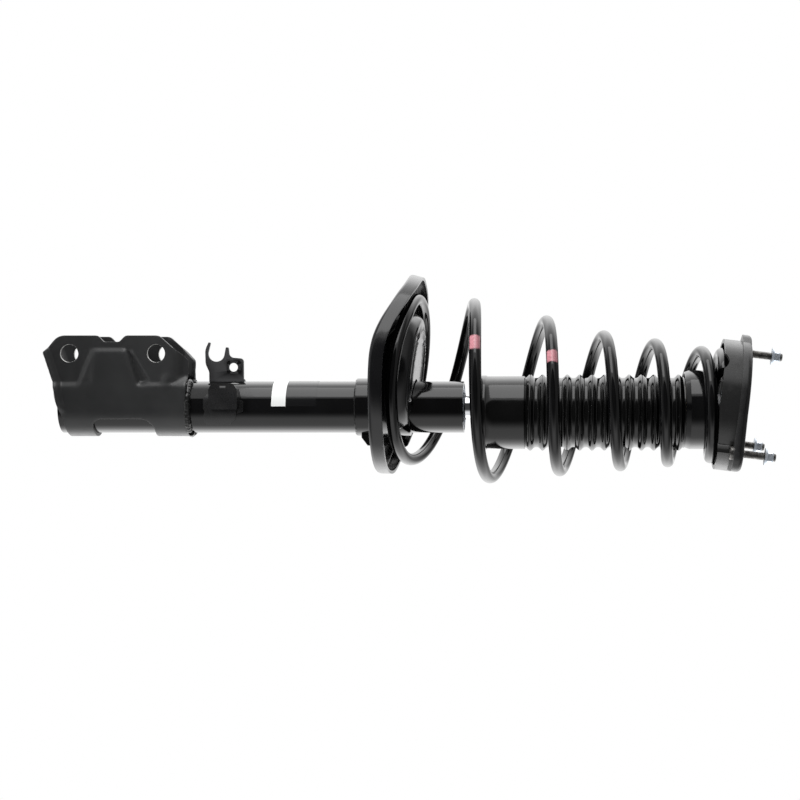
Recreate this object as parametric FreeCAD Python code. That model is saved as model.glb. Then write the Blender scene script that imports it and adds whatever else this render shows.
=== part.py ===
import FreeCAD, Part
import math
import os

# Coil-over suspension strut. Millimetres. +Z runs up the damper axis, origin at the flat tube base.
# -X is the side the knuckle bracket ears point to, -Y is the side with the clip bracket.
os.makedirs("parts", exist_ok=True)

Vector = FreeCAD.Vector
AXIS_Z = Vector(0, 0, 1)
AXIS_Y = Vector(0, 1, 0)
AXIS_X = Vector(1, 0, 0)

# ---- driving dimensions -------------------------------------------------
tube_radius = 25.5
tube_wall = 2.5
tube_top = 398.0
tube_bore = tube_radius - tube_wall

sheet = 3.5
wrap_radius = tube_radius + sheet
ear_inner = 23.0
ear_outer = ear_inner + sheet
ear_top_x = -70.6
ledge_x = -22.0
knuckle_hole_radius = 8.75
knuckle_hole_x = -53.0
knuckle_hole_z = (11.8, 97.1)
bracket_top = 126.7

spring_wire_radius = 6.0
seat_centre = Vector(-33, 0, 317.5)
seat_lean_to_top = 5.4
seat_lean_to_far = 2.3
seat_radius = 99.0
seat_sheet = 3.0
seat_rim_height = 15.0
seat_fold_turn = 146.3
ramp_start = -22.0
ramp_end = 39.0
ramp_height = 16.0
pad_plane_centre = Vector(-33, 0, 322)
pad_lean_to_top = 9.2
pad_lean_to_far = 5.7

rod_radius = 11.0
rod_pin_radius = 7.0
rod_shoulder = 645.5
rod_top = 674.0
piston_radius = 15.95
pressure_bore = 16.0

mount_lean = 7.0
mount_face = 675.6
mount_thickness = 9.5
mount_cup_x = 0.0
mount_cup_radius = 65.0
mount_cup_bore = 61.0
stud_circle_radius = 63.5
stud_circle_x = 10.0
stud_turn = 3.4
stud_radius = 4.0
stud_length = 32.4
bush_radius = 27.0
bush_height = 8.0
bush_middle = mount_face - 20.0
bush_x = (mount_face - bush_middle) * math.tan(math.radians(mount_lean))

boot_axis_x = 5.5


# ---- helpers ------------------------------------------------------------
def export(shape, name):
    shape.exportStep("parts/" + name + ".step")


def tube_of(outer, inner, bottom, top, x=0.0):
    base = Vector(x, 0, bottom)
    body = Part.makeCylinder(outer, top - bottom, base)
    return body.cut(Part.makeCylinder(inner, top - bottom + 2, base - Vector(0, 0, 1)))


def disc(radius, bottom, top, x=0.0):
    return Part.makeCylinder(radius, top - bottom, Vector(x, 0, bottom))


def rounded_wire(points, radii):
    # closed outline through the points, each corner rounded by its radius
    edges = []
    starts = []
    ends = []
    count = len(points)
    for i in range(count):
        here = points[i]
        back = (points[i - 1] - here).normalize()
        ahead = (points[(i + 1) % count] - here).normalize()
        if radii[i] <= 0:
            starts.append(here)
            ends.append(here)
            continue
        half = back.getAngle(ahead) / 2
        reach = radii[i] / math.tan(half)
        first = here + back * reach
        last = here + ahead * reach
        middle_way = (back + ahead).normalize()
        centre = here + middle_way * (radii[i] / math.sin(half))
        middle = centre - middle_way * radii[i]
        edges.append(Part.Arc(first, middle, last).toShape())
        starts.append(first)
        ends.append(last)
    for i in range(count):
        a = ends[i]
        b = starts[(i + 1) % count]
        if a.distanceToPoint(b) > 0.001:
            edges.append(Part.makeLine(a, b))
    return Part.Wire(Part.__sortEdges__(edges))


def plate_xz(points, radii, y_from, y_to):
    # points are (x, z) corners in the side view, each rounded by its radius, swept from y_from to y_to
    corners = [Vector(x, y_from, z) for x, z in points]
    face = Part.Face(rounded_wire(corners, radii))
    return face.extrude(Vector(0, y_to - y_from, 0))


def plate_xy(points, radii, z_from, z_to):
    corners = [Vector(x, y, z_from) for x, y in points]
    face = Part.Face(rounded_wire(corners, radii))
    return face.extrude(Vector(0, 0, z_to - z_from))


def revolved(profile):
    # profile is a closed list of (radius, z), turned round the Z axis
    corners = [Vector(r, 0, z) for r, z in profile]
    face = Part.Face(Part.makePolygon(corners + [corners[0]]))
    return face.revolve(Vector(0, 0, 0), AXIS_Z, 360)


def hexagon(across_flats, bottom, top, x=0.0, y=0.0):
    radius = across_flats / math.sqrt(3)
    corners = []
    for i in range(6):
        angle = math.radians(60 * i)
        corners.append(Vector(x + radius * math.cos(angle), y + radius * math.sin(angle), bottom))
    face = Part.Face(Part.makePolygon(corners + [corners[0]]))
    return face.extrude(Vector(0, 0, top - bottom))


def smooth(table, t):
    # smooth curve through a table of (position, value)
    if t <= table[0][0]:
        return table[0][1]
    if t >= table[-1][0]:
        return table[-1][1]
    i = 0
    while table[i + 1][0] < t:
        i += 1
    x0, y0 = table[i]
    x1, y1 = table[i + 1]
    span = x1 - x0
    slope = (y1 - y0) / span
    before = slope
    after = slope
    if i > 0:
        before = (y1 - table[i - 1][1]) / (x1 - table[i - 1][0])
    if i + 2 < len(table):
        after = (table[i + 2][1] - y0) / (table[i + 2][0] - x0)
    s = (t - x0) / span
    a = 2 * s ** 3 - 3 * s ** 2 + 1
    b = s ** 3 - 2 * s ** 2 + s
    c = -2 * s ** 3 + 3 * s ** 2
    d = s ** 3 - s ** 2
    return a * y0 + b * span * before + c * y1 + d * span * after


# ---- damper body --------------------------------------------------------
tube = tube_of(tube_radius, tube_bore, 0, tube_top)
export(tube, "strut_tube")

base_cap = revolved([(0, 0), (tube_bore, 0), (tube_bore, 9), (20.5, 9), (20.5, 3), (0, 3)])
export(base_cap, "tube_base_cap")

base_valve = revolved([(0, 3), (20.5, 3), (20.5, 8), (pressure_bore, 10), (pressure_bore, 18), (0, 18)])
export(base_valve, "base_valve")

pressure_tube = tube_of(17.5, pressure_bore, 10.5, 381)
export(pressure_tube, "pressure_tube")

rod_guide = revolved([(rod_radius + 0.05, 376), (pressure_bore, 376), (pressure_bore, 381),
                      (17.5, 381), (tube_bore, 384), (tube_bore, 391), (rod_radius + 0.05, 391)])
export(rod_guide, "rod_guide")

oil_seal = revolved([(rod_radius + 0.05, 391), (tube_bore, 391), (tube_bore, 395.5),
                     (14, 395.5), (12.5, 399.5), (rod_radius + 0.05, 399.5)])
export(oil_seal, "oil_seal")

seal_cap = revolved([(14.5, 395.5), (tube_bore, 395.5), (tube_bore, 397), (15.5, 399), (14.5, 399)])
export(seal_cap, "seal_cap")

# ---- knuckle bracket ----------------------------------------------------
def bracket_section(step_from, step_to):
    # U section: ears at ear_inner, stepping out to the wrap between the two X positions
    half = Part.makePolygon([
        Vector(ear_top_x - 1, ear_inner, -20), Vector(step_from, ear_inner, -20),
        Vector(step_to, tube_radius, -20), Vector(0, tube_radius, -20),
        Vector(0, wrap_radius, -20), Vector(step_to - 1, wrap_radius, -20),
        Vector(step_from - 1, ear_outer, -20), Vector(ear_top_x - 1, ear_outer, -20),
        Vector(ear_top_x - 1, ear_inner, -20)])
    far_side = Part.Face(half).extrude(Vector(0, 0, 160))
    near_side = far_side.mirror(Vector(0, 0, 0), AXIS_Y)
    ring = tube_of(wrap_radius, tube_radius, -20, 140)
    ring = ring.common(Part.makeBox(wrap_radius + 1, 2 * wrap_radius + 2, 160,
                                    Vector(0, -wrap_radius - 1, -20)))
    return ring.fuse([far_side, near_side]).removeSplitter()


outline_points = [(ear_top_x, 1), (ear_top_x, 40), (-64.4, 46), (-64.4, 61), (ear_top_x, 67),
                  (ear_top_x, 100), (-46.6, bracket_top), (wrap_radius + 1, bracket_top - 2),
                  (wrap_radius + 1, 8), (4, 4), (-5, 0), (-24, -3), (-54, -12)]
outline_radii = [14, 5, 3, 3, 5, 8, 5, 0, 0, 8, 8, 20, 3]
outline = plate_xz(outline_points, outline_radii, -40, 40)

emboss_points = [(-55, 36), (-55, 67), (-14, 79), (-14, 20)]
emboss = plate_xz(emboss_points, [6, 6, 8, 8], -40, 40)
window_points = [(11, 36), (11, 92), (32, 104), (32, 29)]
window = plate_xz(window_points, [8, 12, 0, 0], -40, 40)

recessed = bracket_section(ledge_x - 5, ledge_x + 1).common(outline)
raised = bracket_section(-59, -55).common(emboss)
bracket = recessed.cut(emboss).fuse(raised).cut(window)

# stiffening flange turned outward along the lower edge of each ear
flange_points = [(-58, -9), (-54, -13), (-24, -3.5), (-5, -0.5), (2, 3), (0, 7), (-8, 3.5), (-25, 1),
                 (-52, -8)]
flange_reach = 32.5
for side in (1, -1):
    rib = plate_xz(flange_points, [2, 2, 15, 8, 1, 1, 8, 15, 2], side * (ear_outer - 1), side * flange_reach)
    rib = rib.cut(Part.makeCylinder(tube_radius, 200, Vector(0, 0, -40)))
    bracket = bracket.fuse(rib)
for hole_z in knuckle_hole_z:
    bolt_bore = Part.makeCylinder(knuckle_hole_radius, 90, Vector(knuckle_hole_x, -45, hole_z), AXIS_Y)
    bracket = bracket.cut(bolt_bore)
export(bracket.removeSplitter(), "knuckle_bracket")

# inner plate closing the bracket in front of the tube
brace = Part.makeBox(sheet, 2 * ear_inner, 104, Vector(-29.5, -ear_inner, 14))
brace = brace.fuse([Part.makeBox(12, sheet, 104, Vector(-41, -ear_inner, 14)),
                    Part.makeBox(12, sheet, 104, Vector(-41, ear_inner - sheet, 14))])
export(brace.removeSplitter(), "bracket_brace")

# weld bead round the upper end of the wrap
weld_ring = Part.makeTorus(tube_radius + 1.6, 2.2, Vector(0, 0, bracket_top - 0.2))
weld_ring = weld_ring.cut(disc(tube_radius, 100, 150))
weld_ring = weld_ring.cut(disc(40, 100, bracket_top - 2)).cut(bracket)
weld_ring = weld_ring.cut(Part.makeBox(60, 90, 60, Vector(-84, -45, 100)))
export(weld_ring, "bracket_weld")

# ---- small brackets on the tube -----------------------------------------
tube_space = disc(tube_radius, 100, 300)
hook_near = 4.0
hook_sheet = 2.5
# foot, curved outer prong, open U mouth, short inner prong, square shoulder
hook_points = [(-24, 143.3), (-35, 143.2), (-43, 139.6), (-57, 139.2), (-64.6, 142.6), (-64, 144.8),
               (-45.3, 140.2), (-45.3, 157.2), (-59.6, 159.8), (-59.4, 162.6), (-49.5, 163.6), (-48.3, 177.6),
               (-24, 177.8)]
hook_radii = [0, 6, 12, 14, 0.8, 0.8, 7.9, 7.9, 0.9, 1.0, 5, 3.5, 0]
hook = plate_xz(hook_points, hook_radii, hook_near, hook_near + hook_sheet)
hole_x = -39.6
hole_z = 167.4
recess_points = [(-46.3, 160.8), (-46.3, 175.2), (-33.2, 175.2), (-33.2, 160.8)]
recess = plate_xz(recess_points, [3, 3, 3, 3], hook_near - 1, hook_near + 0.7)
hook = hook.cut(recess)
hook = hook.cut(Part.makeCylinder(4.3, 10, Vector(hole_x, 0, hole_z), AXIS_Y))
foot = tube_of(tube_radius + hook_sheet, tube_radius, 146, 178.8)
foot = foot.common(Part.makeBox(14, 26, 60, Vector(-32, hook_near, 130)))
hook = hook.cut(tube_space).fuse(foot).removeSplitter()
export(hook, "hose_bracket")

# raised flat crown with a slot, side walls down to the tube, curved feet lying on the tube
crown_face = -35.0
clip_sheet = 2.2
crown = plate_xz([(-23.5, 151), (-23.5, 178), (2, 178), (2, 150)], [6, 8, 1, 1],
                 crown_face, crown_face + clip_sheet)
crown = crown.cut(Part.makeBox(2, 10, 6, Vector(-21, -38, 161)))
walls = []
for wall_z in (150.2, 175.6):
    walls.append(Part.makeBox(20, 14, clip_sheet, Vector(-18, crown_face, wall_z)))
walls.append(Part.makeBox(clip_sheet, 12, 27.4, Vector(-0.2, crown_face, 150.4)))
foot_ring = tube_of(tube_radius + clip_sheet, tube_radius, 130, 200)
lower_foot = plate_xz([(0, 146), (0, 177), (11, 175), (17.5, 168), (17.5, 145), (11, 143)],
                      [0, 0, 2, 4, 3, 3], -40, 0)
side_foot = plate_xz([(-15, 152), (-11, 143.5), (3, 143.5), (6, 152)], [0, 6, 4, 0], -40, 0)
small_foot = plate_xz([(-8, 177), (-6, 183), (4, 183), (6, 177)], [0, 3, 3, 0], -40, 0)
feet = foot_ring.common(lower_foot.fuse([side_foot, small_foot]))
clip = crown.fuse(walls).cut(tube_space).fuse(feet)
export(clip.removeSplitter(), "clip_bracket")

label = tube_of(tube_radius + 0.25, tube_radius, 210, 254)
label = label.common(Part.makeBox(28, 40, 60, Vector(-29, -40, 200)))
export(label, "label")

# ---- lower spring seat --------------------------------------------------
def lean(shape, centre, to_top, to_far):
    shape.rotate(centre, AXIS_Y, to_top)
    shape.rotate(centre, AXIS_X, to_far)
    return shape


def lean_like_seat(shape):
    return lean(shape, seat_centre, seat_lean_to_top, seat_lean_to_far)


side_reach = seat_radius + 2
seat_x = seat_centre.x
seat_z = seat_centre.z


def seat_slab(lift, height):
    # band following the stepped floor of the seat: low plateau, ramp, high plateau
    low = [(-side_reach, lift), (ramp_start, lift),
           (ramp_end, ramp_height + lift), (side_reach, ramp_height + lift)]
    high = [(x, z + height) for x, z in reversed(low)]
    points = [(seat_x + x, seat_z + z) for x, z in low + high]
    slab = plate_xz(points, [0, 30, 20, 0, 0, 20, 30, 0], -side_reach, side_reach)
    slab.rotate(seat_centre, AXIS_Z, seat_fold_turn)
    return slab


outer_blank = Part.makeCylinder(seat_radius, 80, Vector(seat_x, 0, seat_z - 20))
inner_blank = Part.makeCylinder(seat_radius - seat_sheet, 80, Vector(seat_x, 0, seat_z - 20))
seat = seat_slab(0, seat_rim_height).common(outer_blank)
seat = seat.cut(seat_slab(seat_sheet, seat_rim_height).common(inner_blank))
hub_height = 15.0
hub_base = 69.0
hub_top = 62.0
hub_outer = Part.makeCone(hub_base, hub_top, hub_height, Vector(seat_x, 0, seat_z))
hub_inner = Part.makeCone(hub_base - seat_sheet, hub_top - seat_sheet, hub_height - seat_sheet,
                          Vector(seat_x, 0, seat_z - 0.01))
hub_inner = hub_inner.cut(seat_slab(0, 60))
hub_outer = hub_outer.cut(hub_inner)
seat = seat.cut(hub_inner).fuse(hub_outer)
seat = lean_like_seat(seat)
seat = seat.cut(disc(tube_radius + 3.0, 250, 400))
drain_circle = 48.0
for hole_angle in (60, 140, 220, 300):
    turn = math.radians(hole_angle)
    place = Vector(seat_x + drain_circle * math.cos(turn), drain_circle * math.sin(turn), 280)
    seat = seat.cut(Part.makeCylinder(5, 100, place))
export(seat.removeSplitter(), "spring_seat")

collar = revolved([(tube_radius, 293), (28.5, 293), (28.5, 345), (tube_radius, 345)])
gusset = plate_xz([(27, 297), (30, 297), (38, 303), (38, 309), (27, 310.5)], [0, 0, 0, 0, 0], -11, 11)
collar = collar.fuse(gusset).cut(disc(tube_radius, 280, 360)).cut(seat)
export(collar.removeSplitter(), "seat_collar")

seat_weld = Part.makeTorus(tube_radius + 2.0, 1.6, Vector(0, 0, 292.5))
seat_weld = seat_weld.cut(disc(tube_radius, 280, 300)).cut(collar)
export(seat_weld, "seat_weld")

# ---- coil spring --------------------------------------------------------
# turns are counted from the first coil's -X crossing; the coil tapers and leans
x_at_top_side = [(-0.5, -107), (0, -107), (1, -102.5), (2, -85.4), (3, -70.5), (4, -62.5), (5, -55), (6, -53),
                 (6.5, -52)]
x_at_bottom_side = [(-0.5, 52), (0.5, 52), (1.5, 70), (2.5, 63), (3.5, 58), (4.5, 54), (5.5, 50), (6.5, 48)]
height = [(-0.5, 333), (-0.28, 337), (0, 341.6), (0.1, 344), (0.2, 343.5), (0.28, 345), (0.5, 356), (1, 398),
          (1.5, 434), (2, 472), (2.5, 501.5), (3, 531), (3.5, 558.5), (4, 583), (4.5, 606), (5, 629),
          (5.5, 648),
          (6, 648.5), (6.5, 648.5)]
lean_top = [(-0.5, 10), (1, 10), (1.5, 9.5), (2, 8), (2.5, 7.5), (3, 6), (3.5, 4.5), (4, 5), (5, 5), (6, 5.8)]
lean_far = [(-0.5, 10), (0.4, 10), (1, 4), (2, 0), (6, -1)]
first_turn = -0.4
last_turn = 6.136
points_per_turn = 18


def spring_point(t):
    angle = math.pi + 2 * math.pi * t
    left = smooth(x_at_top_side, t)
    right = smooth(x_at_bottom_side, t)
    radius = (right - left) / 2
    z = smooth(height, t) - smooth(lean_top, t) * math.cos(angle) + smooth(lean_far, t) * math.sin(angle)
    return Vector((left + right) / 2 + radius * math.cos(angle), radius * math.sin(angle), z)


point_count = int((last_turn - first_turn) * points_per_turn) + 1
path_points = []
for i in range(point_count):
    path_points.append(spring_point(first_turn + (last_turn - first_turn) * i / (point_count - 1)))
curve = Part.BSplineCurve()
curve.interpolate(path_points)
path = Part.Wire(curve.toShape())
start_way = curve.tangent(curve.FirstParameter)[0]
ring = Part.Wire(Part.makeCircle(spring_wire_radius, path_points[0], start_way))
export(path.makePipeShell([ring], True, True), "coil_spring")

# C-shaped pad between the seat floor and the underside of the first coil, in the coil's own leaning plane
pad_top = 10.6
pad_outer = Part.makeCylinder(94.5, 90, Vector(seat_x, 0, seat_z - 25))
pad_inner = Part.makeCylinder(72.5, 90, Vector(seat_x, 0, seat_z - 25))
pad_ring = pad_outer.cut(pad_inner).cut(seat_slab(-60, 60 + seat_sheet))
pad_ring = lean_like_seat(pad_ring)
pad_roof = Part.makeBox(240, 240, 60, pad_plane_centre + Vector(-120, -120, pad_top))
pad_roof = lean(pad_roof, pad_plane_centre, pad_lean_to_top, pad_lean_to_far)
pad_gap = plate_xy([(seat_x, 0), (seat_x - 150, -50), (seat_x, -260), (seat_x + 220, 100)],
                   [0, 0, 0, 0], 280, 420)
pad_pieces = pad_ring.cut(pad_roof).cut(pad_gap).Solids
pad_pieces.sort(key=lambda piece: piece.Volume)
export(pad_pieces[-1], "lower_spring_pad")

# ---- rod and piston -----------------------------------------------------
rod = revolved([(0, 316), (6, 316), (6, 340), (rod_radius, 340), (rod_radius, rod_shoulder),
                (rod_pin_radius, rod_shoulder), (rod_pin_radius, rod_top - 1), (rod_pin_radius - 1, rod_top),
                (0, rod_top)])
export(rod, "piston_rod")
piston = revolved([(6, 324), (piston_radius, 324), (piston_radius, 326), (14.6, 326), (14.6, 337),
                   (piston_radius, 337), (piston_radius, 340), (6, 340)])
export(piston, "piston")
export(tube_of(piston_radius, 14.6, 326, 337), "piston_band")
export(hexagon(19, 318, 324).cut(disc(6, 310, 330)), "piston_nut")
export(tube_of(15, rod_radius, 352, 364), "rebound_stop")

# ---- bump stop, boot and its cup ----------------------------------------
bump = revolved([(rod_radius, 592), (15, 586), (19, 588), (20, 598), (17, 603),
                 (22, 609), (23, 617), (19, 622),
                 (24, 628), (25, 643), (rod_radius, 643)])
export(bump, "bump_stop")

cup_x = 2.6
cup_outer = revolved([(0, 617), (37.5, 617), (39.3, 622), (39.3, 643), (36, rod_shoulder), (0, rod_shoulder)])
cup_outer.translate(Vector(cup_x, 0, 0))
cup = cup_outer.cut(disc(36.2, 610, 643, cup_x)).cut(disc(rod_radius, 600, 650))
cup = cup.cut(disc(rod_pin_radius, 640, 650))
export(cup, "boot_cup")

boot_profile = []
peak_radius = 38.0
valley_radius = 34.5
pitch = 12.3
first_peak = 463.8
boot_wall = 1.6
outer = [(36.4, 412), (36.9, 414), (36.9, 420), (36.2, 421.5), (36.2, 457.5)]
for n in range(13):
    z = first_peak + pitch * n
    outer.append((peak_radius - 0.4, z - 1.0))
    outer.append((peak_radius, z))
    outer.append((peak_radius - 0.4, z + 1.0))
    if n < 12:
        outer.append((valley_radius, z + pitch / 2 - 0.8))
        outer.append((valley_radius, z + pitch / 2 + 0.8))
outer.append((35.2, 616.8))
inner = [(r - boot_wall, z) for r, z in reversed(outer)]
boot = revolved(outer + inner)
boot.translate(Vector(boot_axis_x, 0, 0))
boot_top = tube_of(35.2, 31, 615, 616.8, boot_axis_x)
boot_neck = tube_of(36.1, 34, 615, 622, cup_x)
boot = boot.fuse([boot_top, boot_neck])
export(boot.removeSplitter(), "dust_boot")

# ---- bush and rod end ---------------------------------------------------
export(tube_of(20, rod_pin_radius, rod_shoulder, 648.5), "lower_washer")
export(tube_of(13, rod_pin_radius, 648.5, 662.5), "bush_sleeve")
export(tube_of(20, rod_pin_radius, 662.5, 665.5), "upper_washer")
export(hexagon(21, 665.5, 672.5).cut(disc(rod_pin_radius, 660, 680)), "rod_nut")


# ---- top mount ----------------------------------------------------------
def lean_like_mount(shape):
    shape.rotate(Vector(0, 0, mount_face), AXIS_Y, mount_lean)
    return shape


def hull_plate(x1, y1, r1, x2, y2, r2, z_from, z_to):
    # plate round two circles and the straight sides tangent to both
    apart = math.hypot(x2 - x1, y2 - y1)
    heading = math.atan2(y2 - y1, x2 - x1)
    spread = math.acos((r1 - r2) / apart)
    corners = []
    for sign in (1, -1):
        way = heading + sign * spread
        corners.append((Vector(x1 + r1 * math.cos(way), y1 + r1 * math.sin(way), z_from),
                        Vector(x2 + r2 * math.cos(way), y2 + r2 * math.sin(way), z_from)))
    tip = Vector(x2 + r2 * math.cos(heading), y2 + r2 * math.sin(heading), z_from)
    back = Vector(x1 - r1 * math.cos(heading), y1 - r1 * math.sin(heading), z_from)
    wire = Part.Wire([Part.makeLine(corners[0][0], corners[0][1]),
                      Part.Arc(corners[0][1], tip, corners[1][1]).toShape(),
                      Part.makeLine(corners[1][1], corners[1][0]),
                      Part.Arc(corners[1][0], back, corners[0][0]).toShape()])
    return Part.Face(wire).extrude(Vector(0, 0, z_to - z_from))


stud_places = []
for i in range(3):
    angle = math.radians(180 + stud_turn + 120 * i)
    stud_y = stud_circle_radius * math.sin(angle)
    stud_places.append((stud_circle_x + stud_circle_radius * math.cos(angle), stud_y))

plate_under = mount_face - mount_thickness
plate_body = disc(66, plate_under, mount_face, -1.0)
for stud_x, stud_y in stud_places:
    plate_body = plate_body.fuse(hull_plate(-1.0, 0, 64, stud_x, stud_y, 18, plate_under, mount_face))
plate_body = plate_body.removeSplitter()
rim_edges = []
for edge in plate_body.Edges:
    level = edge.BoundBox
    if level.ZMin > mount_face - 0.01:
        rim_edges.append(edge)
plate_body = plate_body.makeFillet(4.5, rim_edges)
plate_body = plate_body.cut(disc(bush_radius, plate_under - 1, mount_face + 1, bush_x))
for stud_x, stud_y in stud_places:
    plate_body = plate_body.cut(Part.makeCylinder(stud_radius, 40, Vector(stud_x, stud_y, plate_under - 5)))
export(lean_like_mount(plate_body), "mount_plate")

cup_disc_under = plate_under - 3.0
skirt = tube_of(mount_cup_radius, mount_cup_bore, plate_under - 30, plate_under, mount_cup_x)
ceiling = disc(62, cup_disc_under, plate_under, mount_cup_x)
bush_holder = disc(bush_radius + 2.5, bush_middle - 4.5, plate_under, bush_x)
cup_body = skirt.fuse([ceiling, bush_holder])
cup_body = cup_body.cut(disc(bush_radius, 600, plate_under + 1, bush_x))
for stud_x, stud_y in stud_places:
    cup_body = cup_body.cut(Part.makeCylinder(7.5, 60, Vector(stud_x, stud_y, plate_under - 50)))
cup_body = lean_like_mount(cup_body.removeSplitter())
below_skirt = plate_xz([(-90, 659.4), (0, 647.3), (90, 645.7), (90, 560), (-90, 560)],
                       [0, 60, 0, 0, 0], -90, 90)
central_space = disc(45, 560, 700)
cup_body = cup_body.cut(below_skirt.cut(central_space))
scallop = Part.makeCylinder(13, 60, Vector(-20, -18, 645), Vector(-0.66, -0.75, 0))
cup_body = cup_body.cut(scallop)
export(cup_body, "mount_cup")

insulator = tube_of(mount_cup_bore, 42, mount_face - 18.9, cup_disc_under, mount_cup_x)
export(lean_like_mount(insulator), "upper_spring_insulator")

bush = tube_of(bush_radius, 13.9, bush_middle - bush_height / 2, bush_middle + bush_height / 2, bush_x)
export(lean_like_mount(bush), "mount_bush")

stud_shapes = []
nut_shapes = []
for stud_x, stud_y in stud_places:
    shank = Part.makeCylinder(stud_radius, stud_length + mount_thickness - 1,
                              Vector(stud_x, stud_y, plate_under))
    point_start = Vector(stud_x, stud_y, mount_face + stud_length - 1)
    point = Part.makeCone(stud_radius, stud_radius - 1, 1, point_start)
    head = Part.makeCylinder(7.0, 3, Vector(stud_x, stud_y, cup_disc_under))
    stud_shapes.append(lean_like_mount(shank.fuse([point, head]).removeSplitter()))
    nut_base = mount_face + 21.6
    nut = hexagon(12.5, nut_base + 2, nut_base + 8, stud_x, stud_y)
    nut = nut.common(Part.makeCone(12, 5.6, 8.5, Vector(stud_x, stud_y, nut_base)))
    nut = nut.fuse(Part.makeCone(8.4, 6.9, 2.4, Vector(stud_x, stud_y, nut_base)))
    nut = nut.cut(Part.makeCylinder(stud_radius, 20, Vector(stud_x, stud_y, nut_base - 5)))
    nut_shapes.append(lean_like_mount(nut.removeSplitter()))
export(Part.makeCompound(stud_shapes), "top_studs")
export(Part.makeCompound(nut_shapes), "flange_nuts")
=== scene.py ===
import math
import bmesh
import bpy
from mathutils import Matrix, Vector, noise
from mathutils.geometry import delaunay_2d_cdt


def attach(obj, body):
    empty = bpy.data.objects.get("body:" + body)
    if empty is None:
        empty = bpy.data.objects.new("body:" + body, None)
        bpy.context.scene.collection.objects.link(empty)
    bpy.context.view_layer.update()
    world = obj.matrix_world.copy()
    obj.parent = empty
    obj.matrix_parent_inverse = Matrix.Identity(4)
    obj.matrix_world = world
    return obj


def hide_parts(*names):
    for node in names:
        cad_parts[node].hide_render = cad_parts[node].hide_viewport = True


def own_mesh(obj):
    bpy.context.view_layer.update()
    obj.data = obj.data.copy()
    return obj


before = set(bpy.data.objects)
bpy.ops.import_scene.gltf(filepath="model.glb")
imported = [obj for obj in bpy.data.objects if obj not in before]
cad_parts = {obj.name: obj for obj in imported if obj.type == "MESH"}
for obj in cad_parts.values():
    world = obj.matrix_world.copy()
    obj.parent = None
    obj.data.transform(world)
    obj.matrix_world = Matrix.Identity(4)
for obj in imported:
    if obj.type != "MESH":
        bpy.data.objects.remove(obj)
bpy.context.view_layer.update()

MM = 0.001


# ---------------------------------------------------------------- materials
def new_material(name):
    material = bpy.data.materials.new(name)
    material.use_nodes = True
    return material, material.node_tree.nodes, material.node_tree.links


def noise_at(nodes, links, coords, scale, detail=3.0, roughness=0.5):
    texture = nodes.new("ShaderNodeTexNoise")
    texture.inputs["Scale"].default_value = scale
    texture.inputs["Detail"].default_value = detail
    texture.inputs["Roughness"].default_value = roughness
    links.new(coords, texture.inputs["Vector"])
    return texture.outputs["Fac"]


def remap(nodes, links, value, low, high, to_low, to_high):
    node = nodes.new("ShaderNodeMapRange")
    for socket, number in zip(("From Min", "From Max", "To Min", "To Max"), (low, high, to_low, to_high)):
        node.inputs[socket].default_value = number
    links.new(value, node.inputs["Value"])
    return node.outputs["Result"]


def mix_colour(nodes, links, factor, a, b):
    node = nodes.new("ShaderNodeMix")
    node.data_type = "RGBA"
    links.new(factor, node.inputs[0])
    for socket, colour in ((6, a), (7, b)):
        if isinstance(colour, tuple):
            node.inputs[socket].default_value = (*colour, 1)
        else:
            links.new(colour, node.inputs[socket])
    return node.outputs[2]


def maths(nodes, links, operation, *values):
    node = nodes.new("ShaderNodeMath")
    node.operation = operation
    for socket, value in zip(node.inputs, values):
        links.new(value, socket)
    return node.outputs[0]


def finish(name, dark, light, rough, metallic=0.0, grain=900, grain_depth=0.00002, patch=35, edge=None,
           edge_highlight_amount=0.5, wave=None):
    """Colour and roughness drifting between two values, fine grain, and a painted highlight that makes sharp edges
    lighter if edge is given.
    """
    material, nodes, links = new_material(name)
    shader = nodes["Principled BSDF"]
    coords = nodes.new("ShaderNodeTexCoord").outputs["Object"]
    drift = noise_at(nodes, links, coords, patch, 4.0)
    colour = mix_colour(nodes, links, remap(nodes, links, drift, 0.35, 0.65, 0, 1), dark, light)
    if edge:
        # painted highlight: sharp edges, found by pointiness, are mixed towards the lighter edge colour
        pointy = nodes.new("ShaderNodeNewGeometry").outputs["Pointiness"]
        mix_share = remap(nodes, links, pointy, 0.52, 0.6, 0, edge_highlight_amount)
        colour = mix_colour(nodes, links, mix_share, colour, edge)
    links.new(colour, shader.inputs["Base Color"])
    speckle = noise_at(nodes, links, coords, patch * 4, 3.0)
    links.new(remap(nodes, links, speckle, 0.3, 0.7, rough[0], rough[1]), shader.inputs["Roughness"])
    shader.inputs["Metallic"].default_value = metallic
    bump = nodes.new("ShaderNodeBump")
    bump.inputs["Strength"].default_value = 0.6
    bump.inputs["Distance"].default_value = grain_depth
    links.new(noise_at(nodes, links, coords, grain, 2.0), bump.inputs["Height"])
    links.new(bump.outputs["Normal"], shader.inputs["Normal"])
    if wave:
        ripple = nodes.new("ShaderNodeBump")
        ripple.inputs["Strength"].default_value = 0.35
        ripple.inputs["Distance"].default_value = wave[1]
        links.new(noise_at(nodes, links, coords, wave[0], 1.0), ripple.inputs["Height"])
        links.new(bump.outputs["Normal"], ripple.inputs["Normal"])
        links.new(ripple.outputs["Normal"], shader.inputs["Normal"])
    return material


# satin_black, seat_black, mount_black and mount_rubber get a painted highlight on their sharp edges through their
# edge colour
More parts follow.
